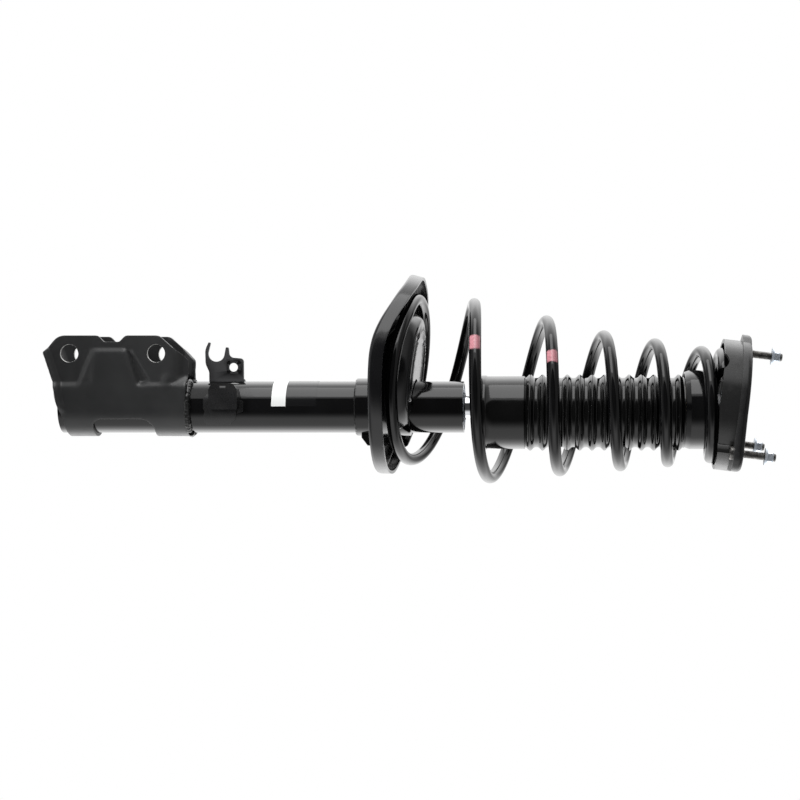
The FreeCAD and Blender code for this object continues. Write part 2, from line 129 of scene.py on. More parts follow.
looks = {
    "gloss_black": finish("gloss_black", (0.0018, 0.0018, 0.002), (0.0035, 0.0035, 0.0038), (0.05, 0.10),
                          grain=600, grain_depth=0.000004, patch=25, wave=(55, 0.00003)),
    "satin_black": finish("satin_black", (0.023, 0.0235, 0.024), (0.029, 0.0295, 0.030), (0.32, 0.38),
                          grain=1500, grain_depth=0.00001, patch=30,
                          edge=(0.12, 0.12, 0.125), edge_highlight_amount=0.25),
    "clip_paint": finish("clip_paint", (0.012, 0.012, 0.0125), (0.018, 0.018, 0.0185), (0.24, 0.30),
                         grain=900, grain_depth=0.000004, patch=60),
    "seat_black": finish("seat_black", (0.004, 0.004, 0.0045), (0.006, 0.006, 0.0065), (0.12, 0.17),
                         grain=900, grain_depth=0.000004, patch=30,
                         edge=(0.15, 0.15, 0.155), edge_highlight_amount=0.35, wave=(50, 0.00003)),
    "spring_rubber": finish("spring_rubber", (0.012, 0.012, 0.012), (0.022, 0.022, 0.022), (0.6, 0.75),
                            grain=1200, grain_depth=0.00006),
    "plain_steel": finish("plain_steel", (0.35, 0.35, 0.36), (0.5, 0.5, 0.51), (0.28, 0.42), metallic=1.0,
                          grain=1500, grain_depth=0.00002),
    # painted highlight: a light grey metal tone for the bolt-hole walls
    "hole_wall_highlight": finish("hole_wall_highlight", (0.45, 0.45, 0.44), (0.75, 0.75, 0.73), (0.45, 0.6), metallic=0.2,
                        grain=1500, grain_depth=0.00002, patch=200),
    "seal_rubber": finish("seal_rubber", (0.014, 0.014, 0.014), (0.026, 0.026, 0.026), (0.5, 0.65)),
    "zinc_plate": finish("zinc_plate", (0.66, 0.73, 0.82), (0.84, 0.89, 0.95), (0.36, 0.50), metallic=0.85,
                         grain=1800, grain_depth=0.00002, patch=150),
    "rod_chrome": finish("rod_chrome", (0.62, 0.63, 0.65), (0.72, 0.73, 0.75), (0.03, 0.07), metallic=1.0,
                         grain=2500, grain_depth=0.000003),
    "piston_band": finish("piston_band", (0.10, 0.07, 0.04), (0.16, 0.12, 0.07), (0.45, 0.6)),
    "bump_foam": finish("bump_foam", (0.50, 0.44, 0.28), (0.62, 0.56, 0.38), (0.75, 0.9),
                        grain=1400, grain_depth=0.00015),
    "boot_rubber": finish("boot_rubber", (0.0018, 0.0018, 0.0018), (0.003, 0.003, 0.003), (0.09, 0.14),
                          grain=700, grain_depth=0.000004, patch=40),
    "boot_cup": finish("boot_cup", (0.003, 0.003, 0.0032), (0.005, 0.005, 0.0055), (0.09, 0.14),
                       grain=900, grain_depth=0.000004, wave=(60, 0.00003)),
    "mount_black": finish("mount_black", (0.006, 0.006, 0.0065), (0.009, 0.009, 0.0095), (0.24, 0.34),
                          grain=1300, grain_depth=0.00003, edge=(0.09, 0.09, 0.09), edge_highlight_amount=0.25),
    "mount_rubber": finish("mount_rubber", (0.003, 0.003, 0.003), (0.005, 0.005, 0.005), (0.20, 0.30),
                           grain=1100, grain_depth=0.00004, edge=(0.06, 0.06, 0.06), edge_highlight_amount=0.2),
    "stud_steel": finish("stud_steel", (0.16, 0.155, 0.15), (0.34, 0.335, 0.32), (0.35, 0.5), metallic=1.0,
                         grain=2500, grain_depth=0.00003, patch=200),
    "weld_metal": finish("weld_metal", (0.008, 0.008, 0.008), (0.022, 0.022, 0.022), (0.12, 0.2),
                         grain=500, grain_depth=0.00005, patch=120, wave=(260, 0.0002)),
}


def split_by_height(name, below, above, level, soft, lower_rough, upper_rough):
    """Two plain tones meeting at one height, for the blank sticker."""
    material, nodes, links = new_material(name)
    shader = nodes["Principled BSDF"]
    coords = nodes.new("ShaderNodeTexCoord").outputs["Object"]
    split = nodes.new("ShaderNodeSeparateXYZ")
    links.new(coords, split.inputs[0])
    side = remap(nodes, links, split.outputs["Z"], level - soft, level + soft, 0, 1)
    fibre = noise_at(nodes, links, coords, 400, 4.0)
    shade = mix_colour(nodes, links, fibre, tuple(0.93 * c for c in below), below)
    links.new(mix_colour(nodes, links, side, shade, above), shader.inputs["Base Color"])
    links.new(remap(nodes, links, side, 0, 1, lower_rough, upper_rough), shader.inputs["Roughness"])
    bump = nodes.new("ShaderNodeBump")
    bump.inputs["Distance"].default_value = 0.00001
    links.new(fibre, bump.inputs["Height"])
    links.new(bump.outputs["Normal"], shader.inputs["Normal"])
    return material


looks["label_film"] = split_by_height(
    "label_film", below=(0.78, 0.79, 0.78), above=(0.006, 0.006, 0.0065), level=0.2240, soft=0.0002,
    lower_rough=0.35, upper_rough=0.16)


# The painted marks' first and last places along the wire, in turns, and how soft their ends are.
painted_turns = [(1.150, 1.176), (2.149, 2.174)]
mark_blur = 0.0015
mark_colour = (0.66, 0.28, 0.32)


def spring_paint():
    """Gloss black with two painted marks, placed along the wire by its turn count."""
    material = looks["gloss_black"].copy()
    material.name = "spring_paint"
    nodes, links = material.node_tree.nodes, material.node_tree.links
    shader = nodes["Principled BSDF"]
    plain = shader.inputs["Base Color"].links[0].from_socket
    turn = nodes.new("ShaderNodeAttribute")
    turn.attribute_name = "turn"
    coords = nodes.new("ShaderNodeTexCoord").outputs["Object"]
    ragged = remap(nodes, links, noise_at(nodes, links, coords, 260, 3.0), 0, 1, -0.004, 0.004)
    place = maths(nodes, links, "ADD", turn.outputs["Fac"], ragged)
    outward = nodes.new("ShaderNodeAttribute")
    outward.attribute_name = "outward"
    marks = []
    for start, end in painted_turns:
        opens = remap(nodes, links, place, start - mark_blur, start + mark_blur, 0, 1)
        closes = remap(nodes, links, place, end - mark_blur, end + mark_blur, 1, 0)
        marks.append(maths(nodes, links, "MULTIPLY", opens, closes))
    # the marks' paint is worn away in patches
    mix_share = remap(nodes, links, noise_at(nodes, links, coords, 500, 4.0), 0.3, 0.75, 0.85, 0.55)
    outer_side = remap(nodes, links, outward.outputs["Fac"], 0.42, 0.62, 0, 1)
    cover = maths(nodes, links, "MULTIPLY", maths(nodes, links, "MAXIMUM", *marks), outer_side)
    faded = maths(nodes, links, "MULTIPLY", cover, mix_share)
    links.new(mix_colour(nodes, links, faded, plain, mark_colour), shader.inputs["Base Color"])
    return material


looks["spring_paint"] = spring_paint()


# ------------------------------------------------------------ mesh helpers
def mesh_object(name, verts, faces, material, body, sharp=40):
    mesh = bpy.data.meshes.new(name)
    mesh.from_pydata([tuple(v) for v in verts], [], faces)
    mesh.validate()
    mesh.update()
    fixed = bmesh.new()
    fixed.from_mesh(mesh)
    bmesh.ops.recalc_face_normals(fixed, faces=fixed.faces)
    fixed.to_mesh(mesh)
    fixed.free()
    mesh.shade_smooth()
    mesh.set_sharp_from_angle(angle=math.radians(sharp))
    obj = bpy.data.objects.new(name, mesh)
    bpy.context.scene.collection.objects.link(obj)
    mesh.materials.append(material)
    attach(obj, body)
    return obj


def apply_modifiers(obj):
    evaluated = obj.evaluated_get(bpy.context.evaluated_depsgraph_get())
    mesh = bpy.data.meshes.new_from_object(evaluated)
    obj.modifiers.clear()
    obj.data = mesh


def ring_faces(rows, around, first=0):
    """The quads between rows of vertices, each row a closed ring of the same count."""
    faces = []
    for j in range(rows - 1):
        low, high = first + j * around, first + (j + 1) * around
        for i in range(around):
            k = (i + 1) % around
            faces.append((low + i, low + k, high + k, high + i))
    return faces


def end_caps(rows, around, first=0):
    last = first + (rows - 1) * around
    return [tuple(range(first, first + around)), tuple(range(last, last + around))]


def pressed_sheet(obj, thickness, edge_width, edge_segments):
    """Gives a flat mesh its sheet thickness and rounds the sheet's edges."""
    thick = obj.modifiers.new("sheet", "SOLIDIFY")
    thick.thickness = thickness * MM
    thick.offset = 0
    thick.use_even_offset = True
    round_edges = obj.modifiers.new("rounding", "BEVEL")
    round_edges.width = edge_width * MM
    round_edges.segments = edge_segments
    round_edges.limit_method = "ANGLE"
    round_edges.angle_limit = math.radians(62)
    apply_modifiers(obj)
    obj.data.shade_smooth()
    obj.data.set_sharp_from_angle(angle=math.radians(50))


def lathe(profile, segments, centre):
    """Rings of vertices and the quads between them for an open (radius, height) profile, in millimetres."""
    verts = []
    for radius, z in profile:
        for i in range(segments):
            a = 2 * math.pi * i / segments
            x, y = centre[0] + radius * math.cos(a), centre[1] + radius * math.sin(a)
            verts.append((x * MM, y * MM, z * MM))
    return verts, ring_faces(len(profile), segments)


def inside(point, loop):
    """True inside the closed loop: counts how often a line to the right crosses it."""
    x, y = point
    hit = False
    j = len(loop) - 1
    for i in range(len(loop)):
        xi, yi = loop[i]
        xj, yj = loop[j]
        if (yi > y) != (yj > y) and x < (xj - xi) * (y - yi) / (yj - yi) + xi:
            hit = not hit
        j = i
    return hit


def near_loop(point, loop, reach):
    x, y = point
    return any((x - a) ** 2 + (y - b) ** 2 < reach * reach for a, b in loop)


def rounded_loop(corners, spacing):
    """Closed outline with rounded corners, as evenly spaced points. Corners are (x, y, radius)."""
    pieces = []
    count = len(corners)
    for i in range(count):
        x, y, r = corners[i]
        here = Vector((x, y))
        back = (Vector(corners[i - 1][:2]) - here).normalized()
        ahead = (Vector(corners[(i + 1) % count][:2]) - here).normalized()
        if r <= 0:
            pieces.append([here])
            continue
        half = back.angle(ahead) / 2
        reach = r / math.tan(half)
        middle = (back + ahead).normalized()
        centre = here + middle * (r / math.sin(half))
        a, b = here + back * reach - centre, here + ahead * reach - centre
        steps = max(2, int(r * (math.pi - 2 * half) / spacing) + 1)
        turn = a.angle_signed(b)
        arc = []
        for k in range(steps + 1):
            t = -turn * k / steps
            cosine, sine = math.cos(t), math.sin(t)
            arc.append(centre + Vector((a.x * cosine - a.y * sine, a.x * sine + a.y * cosine)))
        pieces.append(arc)
    loop = []
    for i in range(count):
        loop.extend(pieces[i])
        a, b = pieces[i][-1], pieces[(i + 1) % count][0]
        steps = int((b - a).length / spacing)
        for k in range(1, steps):
            loop.append(a.lerp(b, k / steps))
    clean = [loop[0]]
    for p in loop[1:]:
        if (p - clean[-1]).length > 0.05 * spacing:
            clean.append(p)
    if (clean[0] - clean[-1]).length < 0.05 * spacing:
        clean.pop()
    return [tuple(p) for p in clean]


def circle_loop(x, y, r, count):
    angles = [2 * math.pi * i / count for i in range(count)]
    return [(x + r * math.cos(a), y + r * math.sin(a)) for a in angles]


def filled_sheet(outline, holes, spacing):
    """Triangulates a flat outline with holes, on an even grid of inner points."""
    loops = [outline, *holes]
    points, edges = [], []
    for loop in loops:
        first = len(points)
        points.extend(loop)
        edges.extend((first + i, first + (i + 1) % len(loop)) for i in range(len(loop)))
    xs, ys = [p[0] for p in outline], [p[1] for p in outline]
    row = 0
    y = min(ys) + spacing * 0.5
    border = [p for loop in loops for p in loop]
    cells = {}
    for p in border:
        cells.setdefault((int(p[0] // spacing), int(p[1] // spacing)), []).append(p)
    while y < max(ys):
        x = min(xs) + spacing * (0.5 + 0.5 * (row % 2))
        while x < max(xs):
            cx, cy = int(x // spacing), int(y // spacing)
            close = [p for i in (-1, 0, 1) for j in (-1, 0, 1) for p in cells.get((cx + i, cy + j), ())]
            if not near_loop((x, y), close, spacing * 0.6):
                if inside((x, y), outline) and not any(inside((x, y), h) for h in holes):
                    points.append((x, y))
            x += spacing
        y += spacing * 0.866
        row += 1
    verts, _, faces, *_ = delaunay_2d_cdt([Vector(p) for p in points], edges, [], 1, 1e-5)
    kept = []
    for f in faces:
        cx = sum(verts[i].x for i in f) / len(f)
        cy = sum(verts[i].y for i in f) / len(f)
        if inside((cx, cy), outline) and not any(inside((cx, cy), h) for h in holes):
            kept.append(tuple(f))
    return [(v.x, v.y) for v in verts], kept


def step(value, start, end):
    """0 below start, 1 above end, changing smoothly between them."""
    t = min(1.0, max(0.0, (value - start) / (end - start)))
    return t * t * (3 - 2 * t)


def distance_to_path(point, path):
    p = Vector(point)
    best = 1e9
    for a, b in zip(path, path[1:]):
        a, b = Vector(a), Vector(b)
        t = min(1.0, max(0.0, (p - a).dot(b - a) / (b - a).length_squared))
        best = min(best, (p - a.lerp(b, t)).length)
    return best


def in_convex(point, corners, soft):
    """1 well inside the convex outline, 0 outside, changing smoothly over soft either side of its edge."""
    p = Vector(point)
    least = 1e9
    for i in range(len(corners)):
        a, b = Vector(corners[i]), Vector(corners[(i + 1) % len(corners)])
        along = (b - a).normalized()
        least = min(least, (p - a).dot(Vector((-along.y, along.x))))
    return step(least, -soft, soft)


# ------------------------------------------------------------- coil spring
# The coil tapers and leans, so its reach, height and lean are (turn, millimetres) pairs, joined smoothly.
x_at_top_side = [(-0.5, -107), (0, -107), (1, -102.5), (2, -85.4), (3, -70.5), (4, -62.5), (5, -55), (6, -53),
                 (6.5, -52)]
x_at_bottom_side = [(-0.5, 52), (0.5, 52), (1.5, 70), (2.5, 63), (3.5, 58), (4.5, 54), (5.5, 50), (6.5, 48)]
spring_height = [(-0.5, 333), (-0.28, 337), (0, 341.6), (0.1, 344), (0.2, 343.5), (0.28, 345), (0.5, 356),
                 (1, 398), (1.5, 434), (2, 472), (2.5, 501.5), (3, 531), (3.5, 558.5), (4, 583), (4.5, 606),
                 (5, 629), (5.5, 648), (6, 648.5), (6.5, 648.5)]
lean_top = [(-0.5, 10), (1, 10), (1.5, 9.5), (2, 8), (2.5, 7.5), (3, 6), (3.5, 4.5), (4, 5), (5, 5), (6, 5.8)]
lean_far = [(-0.5, 10), (0.4, 10), (1, 4), (2, 0), (6, -1)]


def smooth(table, t):
    """A smooth curve through the table's (place, value) pairs, level past both ends."""
    if t <= table[0][0]:
        return table[0][1]
    if t >= table[-1][0]:
        return table[-1][1]
    i = 0
    while table[i + 1][0] < t:
        i += 1
    (x0, y0), (x1, y1) = table[i], table[i + 1]
    span = x1 - x0
    slope = (y1 - y0) / span
    before = (y1 - table[i - 1][1]) / (x1 - table[i - 1][0]) if i > 0 else slope
    after = (table[i + 2][1] - y0) / (table[i + 2][0] - x0) if i + 2 < len(table) else slope
    s = (t - x0) / span
    return ((2 * s ** 3 - 3 * s ** 2 + 1) * y0 + (s ** 3 - 2 * s ** 2 + s) * span * before
            + (3 * s ** 2 - 2 * s ** 3) * y1 + (s ** 3 - s ** 2) * span * after)


def spring_centre(t):
    angle = math.pi + 2 * math.pi * t
    left, right = smooth(x_at_top_side, t), smooth(x_at_bottom_side, t)
    radius = (right - left) / 2
    lean = smooth(lean_far, t) * math.sin(angle) - smooth(lean_top, t) * math.cos(angle)
    x = (left + right) / 2 + radius * math.cos(angle)
    return Vector((x, radius * math.sin(angle), smooth(spring_height, t) + lean))


def build_spring():
    first, last, wire, around, per_turn = -0.4, 6.136, 6.0, 24, 96
    cap = [(0.01, 0.6), (0.5 * wire, 0.6), (0.93 * wire, 0.6)]      # (radius, reach past the wire's end)
    rings = [(first, r, -reach) for r, reach in cap]
    rings.append((first, wire * 0.985, 0.0))
    count = int((last - first) * per_turn)
    rings += [(first + (last - first) * i / count, wire, 0.0) for i in range(1, count)]
    rings.append((last, wire * 0.985, 0.0))
    rings += [(last, r, reach) for r, reach in reversed(cap)]
    verts, turns, outward = [], [], []
    for t, r, reach in rings:
        ahead = (spring_centre(t + 0.002) - spring_centre(t - 0.002)).normalized()
        side = ahead.cross(Vector((0, 0, 1))).normalized()
        up = side.cross(ahead)
        centre = spring_centre(t) + ahead * reach
        for k in range(around):
            a = 2 * math.pi * k / around
            verts.append((centre + side * (r * math.cos(a)) + up * (r * math.sin(a))) * MM)
            turns.append(t)
            outward.append(math.cos(a))
    faces = ring_faces(len(rings), around)
    mesh = bpy.data.meshes.new("spring_coil")
    mesh.from_pydata([tuple(v) for v in verts], [], faces)
    for attribute_name, values in (("turn", turns), ("outward", outward)):
        attribute = mesh.attributes.new(attribute_name, "FLOAT", "POINT")
        attribute.data.foreach_set("value", values)
    mesh.update()
    mesh.shade_smooth()
    mesh.set_sharp_from_angle(angle=math.radians(50))
    obj = bpy.data.objects.new("spring_coil", mesh)
    bpy.context.scene.collection.objects.link(obj)
    mesh.materials.append(looks["spring_paint"])
    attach(obj, "strut_body")
    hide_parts("coil_spring")
    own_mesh(obj)


build_spring()


# --------------------------------------------------------------- dust boot
def build_boot():
    rib_count, peak, valley, pitch, first_peak, wall = 13, 38.0, 34.5, 12.3, 463.8, 1.5
    ribs_start, ribs_end, steps, around = 458.6, 615.6, 20, 128
    boot_x = 5.5
    outer = [(35.6, 412.0), (36.3, 412.3), (36.9, 413.2), (36.9, 419.6), (36.6, 420.6), (36.1, 421.4),
             (36.1, 430), (36.2, 445), (36.2, 456.2), (36.3, 458.2)]
    for n in range(rib_count):
        for k in range(steps):
            f = (k + 0.5) / steps - 0.5
            z = first_peak + pitch * (n + f)
            if ribs_start <= z <= ribs_end:
                ridge = 0.5 + 0.5 * math.cos(2 * math.pi * f)
                outer.append((valley + (peak - valley) * ridge ** 1.7, z))
    outer += [(35.2, 616.0), (35.2, 616.8), (31, 616.8)]
    inner = [(r - wall, z) for r, z in reversed(outer[:-1])]
    verts, faces = lathe(outer + inner, around, (boot_x, 0))
    last = (len(outer + inner) - 1) * around
    for i in range(around):
        k = (i + 1) % around
        faces.append((i, last + i, last + k, k))
    obj = mesh_object("boot_bellows", verts, faces, looks["boot_rubber"], "rod_assembly", 60)
    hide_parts("dust_boot")
    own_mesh(obj)


build_boot()

# ---------------------------------------------------------- knuckle bracket
# The bracket is one sheet wrapped round the tube, with an ear on either side. It is drawn flat, as (distance
# along the sheet, height), and bent into place point by point. x and z below are places on an ear.
wrap_mid = 27.25
quarter = wrap_mid * math.pi / 2
bracket_sheet = 3.5
bolt_x, bolt_heights, bolt_hole = -53, (11.8, 97.1), 8.75
lower_edge = [(-54, -13), (-24, -3), (-5, 0), (5, 4)]
emboss_corners = [(-13, 17), (-13, 81), (-56, 68), (-56, 35)]
groove_corners = [(-19, 81), (-27, 90), (-56, 72), (-56, 68)]
pocket_corners = [(-55, 20), (-23, 20), (-23, 33), (-55, 37)]


def unrolled(x):
    """Distance along the sheet from the middle of the wrap to where it reaches x on one side."""
    if x <= 0:
        return quarter - x
    return wrap_mid * math.acos(min(1.0, x / wrap_mid))


def bracket_loops(spacing):
    side = [(-70.6, 1, 14), (-70.6, 40, 5), (-64.4, 46, 3), (-64.4, 61, 3), (-70.6, 67, 5), (-70.6, 100, 8),
            (-46.6, 126.7, 5), (-10, 126.0, 0)]
    low = [(26, 7.6, 8), (10, 5.5, 8), (-5, 0.2, 8), (-24, -3, 20), (-54, -13, 3)]
    near = [(-unrolled(x), z, r) for x, z, r in side]
    far = [(unrolled(x), z, r) for x, z, r in side]
    low_near = [(-unrolled(x), z, r) for x, z, r in low]
    low_far = [(unrolled(x), z, r) for x, z, r in low]
    corners = near + far[::-1] + low_far[::-1] + low_near
    outline = rounded_loop(corners, spacing)
    half = unrolled(11)
    window = rounded_loop([(-half, 34, 9), (-half, 94, 13), (half, 94, 13), (half, 34, 9)], spacing)
    holes = [window]
    for z in bolt_heights:
        for sign in (-1, 1):
            holes.append(circle_loop(sign * unrolled(bolt_x), z, bolt_hole, 44))
    return outline, holes


def bracket_point(u, z):
    """Where a point of the flat sheet ends up, after bending and pressing."""
    side = -1 if u < 0 else 1
    run = abs(u)
    if run < quarter:
        angle = run / wrap_mid
        base = Vector((wrap_mid * math.cos(angle), side * wrap_mid * math.sin(angle), z))
        out = Vector((math.cos(angle), side * math.sin(angle), 0))
        x = base.x
    else:
        x = quarter - run
        base = Vector((x, side * wrap_mid, z))
        out = Vector((0, side, 0))
    step_in = step(-x, 19.0, 25.5)
    raised = in_convex((x, z), emboss_corners, 2.2)
    groove = in_convex((x, z), groove_corners, 1.8)
    pocket = in_convex((x, z), pocket_corners, 3.0)
    move = -step_in * (3.0 * (1 - raised) + 2.6 * groove + 0.8 * pocket)
    dimple = ((x + 27) / 6) ** 2 + ((z - 108) / 4.5) ** 2
    move += 2.2 * math.exp(-dimple)
    if x < 6:
        lip = distance_to_path((x, z), lower_edge)
        move += 5.4 * (1 - step(lip, 0.5, 7.0)) * step(-x, -6, 3)
    top_corner = step(z, 113, 127) * step(-x, 22, 32) * (1 - step(-x, 64, 74))
    move -= 8.0 * top_corner
    return (base + out * move) * MM


def build_bracket():
    spacing = 2.2
    outline, holes = bracket_loops(spacing)
    flat, faces = filled_sheet(outline, holes, spacing)
    verts = [bracket_point(u, z) for u, z in flat]
    obj = mesh_object("bracket_shell", verts, faces, looks["satin_black"], "strut_body", 180)
    pressed_sheet(obj, bracket_sheet, 0.55, 2)
    # the bolt-hole walls get the light material, a painted highlight
    obj.data.materials.append(looks["hole_wall_highlight"])
    hole_reach = (bolt_hole + 0.2) * MM
    for face in obj.data.polygons:
        for z in bolt_heights:
            across = math.hypot(face.center.x - bolt_x * MM, face.center.z - z * MM)
            if across < hole_reach and abs(face.normal.y) < 0.5:
                face.material_index = 1
    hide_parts("knuckle_bracket")


build_bracket()


# --------------------------------------------------------------------- welds
def lumpy_bead(name, path, radius, seed, look, lumps):
    """A weld bead: a thin tube along path, its girth and its line wandering like weld laid by hand."""
    verts = []
    around = 14
    for i, p in enumerate(path):
        ahead = (path[min(i + 1, len(path) - 1)] - path[max(i - 1, 0)]).normalized()
        side = ahead.cross(Vector((0, 0, 1)))
        side = side.normalized() if side.length > 0.01 else Vector((1, 0, 0))
        up = side.cross(ahead)
        drift = noise.noise(p * 0.11 + Vector((seed, 0, 0)))
        middle = p + up * (1.6 * radius * lumps * drift)
        for k in range(around):
            a = 2 * math.pi * k / around
            way = side * math.cos(a) + up * math.sin(a)
            swell = radius * (1 + lumps * 1.8 * noise.noise((p + way * radius) * 0.34 + Vector((0, seed, 0)))
                              + lumps * 0.7 * noise.noise((p + way * radius) * 0.9 + Vector((0, 0, seed))))
            if i in (0, len(path) - 1):
                swell *= 0.15
            verts.append((middle + way * swell) * MM)
    faces = ring_faces(len(path), around) + end_caps(len(path), around)
    return mesh_object(name, verts, faces, looks[look], "strut_body", 60)


def ring_path(radius, z, start, end, steps):
    path = []
    for i in range(steps + 1):
        a = math.radians(start + (end - start) * i / steps)
        path.append(Vector((radius * math.cos(a), radius * math.sin(a), z)))
    return path


bead_radius, bead_height = 26.4, 127.0
near_path = ring_path(bead_radius, bead_height, 200, 330, 130)
far_path = ring_path(bead_radius, bead_height, 345, 520, 170)
weld_near = lumpy_bead("weld_near", near_path, 3.3, 0.7, "weld_metal", 0.14)
weld_far = lumpy_bead("weld_far", far_path, 3.3, 2.1, "weld_metal", 0.14)
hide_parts("bracket_weld")
collar_weld = lumpy_bead("collar_bead", ring_path(27.0, 292.6, 0, 357, 190), 1.5, 1.3, "gloss_black", 0.10)
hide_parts("seat_weld")

# -------------------------------------------------------------- spring seat
# The seat's floor climbs round the tube with the first coil, then drops steeply on the near side. rim_height
# is (degrees round the seat's centre, height of the rim's top).
seat_x = -33.0
rim_height = [(-18, 325.2), (0, 327), (30, 331), (60, 338), (90, 345.5), (110, 350), (139, 357), (165, 357.8),
              (192, 357.8), (200, 357), (208, 354.8), (217, 350.3), (226, 345), (240, 335.2), (250, 329.8),
              (262, 326.9), (300, 325.4), (342, 325.2), (360, 327)]
rim_rise, seat_sheet, seat_mid_radius, seat_corner = 13.5, 3.0, 97.5, 2.2
hub_top, hub_base, hub_height, hub_ring = 52.0, 66.0, 349.5, 44.0
channel_depth = 5.5
drain_hole, drain_angles = 5, (60, 140, 220, 300)
tube_gap = 28.0


def seat_floor(degrees):
    """Height of the floor's upper face at an angle round the seat's centre."""
    return smooth(rim_height, degrees % 360) - rim_rise + seat_sheet


def seat_point(x, y, rise=0.0):
    """The middle of the sheet, (x, y) from the seat's centre and rise above its floor, hub and channel in it."""
    reach = math.hypot(x, y)
    turn = math.atan2(y, x)
    degrees = math.degrees(turn) % 360
    floor = seat_floor(degrees) - seat_sheet / 2
    ring_ridge = 1.8 * math.exp(-((reach - hub_ring) / 2.4) ** 2)
    hub = hub_height - 0.115 * x + 0.03 * y + ring_ridge
    share = 1 - step(reach, hub_top, hub_base)
    channel = step(degrees, 110, 150) * (1 - step(degrees, 200, 216)) * (1 - step(reach, 84, 91))
    level = floor + share * (hub - floor) + rise - channel_depth * channel * (1 - share)
    flare = rise * (0.15 - 0.12 * math.cos(turn))
    return Vector((seat_x + x + flare, y, level)) * MM


def seat_rings():
    """(radius, rise above the floor) from the hub's top out over the floor and up the rim."""
    rings = [(hub_top + 1.25 * i, 0.0) for i in range(13)]
    rings += [(69.5 + 1.5 * i, 0.0) for i in range(4)]
    rings += [(76 + 2.4 * i, 0.0) for i in range(8)]
    for i in range(6):
        a = math.pi / 2 * i / 5
        rings.append((seat_mid_radius - seat_corner * (1 - math.sin(a)), seat_corner * (1 - math.cos(a))))
    top = rim_rise - seat_sheet / 2
    rings += [(seat_mid_radius, seat_corner + (top - seat_corner) * i / 4) for i in range(1, 5)]
    return rings


def build_seat():
    spacing, around, inner_radius = 2.4, 260, hub_top - 1.0
    holes = []
    for degrees in drain_angles:
        a = math.radians(degrees)
        holes.append(circle_loop(hub_ring * math.cos(a), hub_ring * math.sin(a), drain_hole, 24))
    flat, faces = filled_sheet(circle_loop(0, 0, inner_radius, around), holes, spacing)
    places = [(x, y, 0.0) for x, y in flat]
    rings = [(inner_radius, 0.0)] + seat_rings()
    first = len(places)
    for radius, rise in rings:
        places.extend((x, y, rise) for x, y in circle_loop(0, 0, radius, around))
    faces += ring_faces(len(rings), around, first)
    from_tube = [math.hypot(x + seat_x, y) for x, y, rise in places]
    faces = [f for f in faces if min(from_tube[i] for i in f) > tube_gap - 2.0]
    used = {i for f in faces for i in f}
    verts = []
    for i, (x, y, rise) in enumerate(places):
        away = from_tube[i]
        if i in used and away < tube_gap:
            x, y = -seat_x + (x + seat_x) * tube_gap / away, y * tube_gap / away
        verts.append(seat_point(x, y, rise))
    obj = mesh_object("seat_dish", verts, faces, looks["seat_black"], "strut_body", 180)
    joined = bmesh.new()
    joined.from_mesh(obj.data)
    bmesh.ops.remove_doubles(joined, verts=joined.verts, dist=0.05 * MM)
    loose = [v for v in joined.verts if not v.link_faces]
    bmesh.ops.delete(joined, geom=loose, context="VERTS")
    bmesh.ops.recalc_face_normals(joined, faces=joined.faces)
    joined.to_mesh(obj.data)
    joined.free()
    pressed_sheet(obj, seat_sheet, 1.3, 4)
    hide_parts("spring_seat")


def build_pad():
    """Rubber strip between the seat's floor and the first coil, with thin rounded ends."""
    verts = []
    start, end, steps = 40.0, 195.0, 80
    for i in range(steps + 1):
        degrees = start + (end - start) * i / steps
        floor = seat_floor(degrees) + 0.1 - channel_depth * step(degrees, 110, 150)
        under_wire = spring_centre((degrees - 180) / 360).z - 6.3
        thick = max(0.4, min(under_wire - floor, 12.0))
        edge = thick * 0.9
        across = [(70, 0), (70, edge), (71, thick), (77, thick), (84, thick), (85, edge), (85, 0)]
        a = math.radians(degrees)
        for radius, rise in across:
            verts.append(Vector((seat_x + radius * math.cos(a), radius * math.sin(a), floor + rise)) * MM)
    faces = ring_faces(steps + 1, len(across)) + end_caps(steps + 1, len(across))
    obj = mesh_object("spring_pad_strip", verts, faces, looks["spring_rubber"], "strut_body", 40)
    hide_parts("lower_spring_pad")


build_seat()
build_pad()

# ------------------------------------------------------------- studs, threads
mount_face = Vector((0, 0, 675.6))
mount_turn = Matrix.Rotation(math.radians(7.0), 3, "Y")
under_plate, head_radius, shank_radius, thread_start, tip_start = -9.5, 6.9, 3.98, 2, 31.5
thread_pitch, thread_depth = 1.25, 0.62
stud_circle_x, stud_circle_radius, first_stud_angle = 10, 63.5, 183.4


def on_mount(x, y, z):
    """A place on the leaning mount, z up from its outer face."""
    return (mount_face + mount_turn @ Vector((x, y, z))) * MM


def stud_radius(z, k, around):
    """Head, plain shank, thread and chamfered tip, going up from under the plate."""
    if z <= under_plate - 0.05:
        return head_radius
    if z < thread_start:
        return shank_radius
    if z > tip_start:
        return shank_radius - 0.08 - (z - tip_start)
    phase = (z / thread_pitch - k / around) % 1.0
    return shank_radius - thread_depth * (1 - abs(2 * phase - 1)) ** 0.8


def build_studs():
    verts, faces = [], []
    around = 28
    heights = [under_plate - 2.9, under_plate - 0.1, under_plate]
    z = under_plate + 0.5
    while z < tip_start - 0.1:
        heights.append(z)
        z += thread_pitch / 8
    heights += [tip_start + 0.1, tip_start + 0.6, tip_start + 0.9]
    for i in range(3):
        a = math.radians(first_stud_angle + 120 * i)
        cx, cy = stud_circle_x + stud_circle_radius * math.cos(a), stud_circle_radius * math.sin(a)
        first = len(verts)
        for z in heights:
            for k in range(around):
                b = 2 * math.pi * k / around
                r = stud_radius(z, k, around)
                verts.append(on_mount(cx + r * math.cos(b), cy + r * math.sin(b), z))
        faces += ring_faces(len(heights), around, first) + end_caps(len(heights), around, first)
    obj = mesh_object("stud_threads", verts, faces, looks["stud_steel"], "top_mount", 35)
    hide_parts("top_studs")


build_studs()

